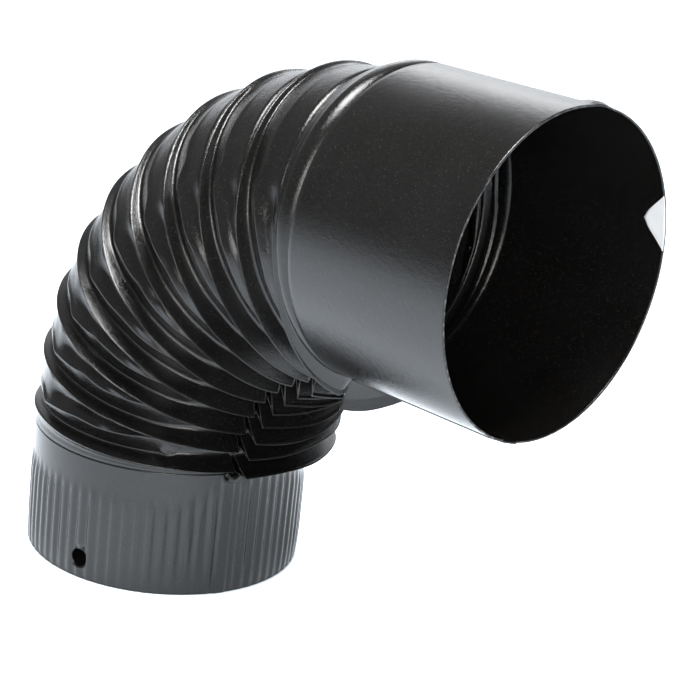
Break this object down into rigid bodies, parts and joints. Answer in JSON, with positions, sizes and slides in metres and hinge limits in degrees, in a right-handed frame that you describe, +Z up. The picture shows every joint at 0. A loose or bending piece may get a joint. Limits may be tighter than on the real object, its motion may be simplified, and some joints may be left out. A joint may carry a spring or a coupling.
{
  "type": "flue elbow",
  "caption": "Ninety degree pleated sheet-steel flue elbow with a crimped spigot at one end and a plain socket collar at the other.",
  "frame": {"origin": "centre of the crimped spigot's open end", "axes": "+X out of the socket's mouth, +Z up the spigot's axis, so -Z is the way the spigot leaves into the pipe below; +Y completes the frame"},
  "size_m": [0.2528, 0.1214, 0.2342],
  "materials": {
    "painted_steel": "satin",
    "label_film": "matte"
  },
  "bodies": {
    "root": {"crimped_spigot": "painted_steel", "pleat_01": "painted_steel", "pleat_02": "painted_steel", "pleat_03": "painted_steel", "pleat_04": "painted_steel", "pleat_05": "painted_steel", "pleat_06": "painted_steel", "pleat_07": "painted_steel", "pleat_08": "painted_steel", "pleat_09": "painted_steel", "pleat_10": "painted_steel", "socket_collar": "painted_steel", "label": "label_film"}
  },
  "joints": []
}
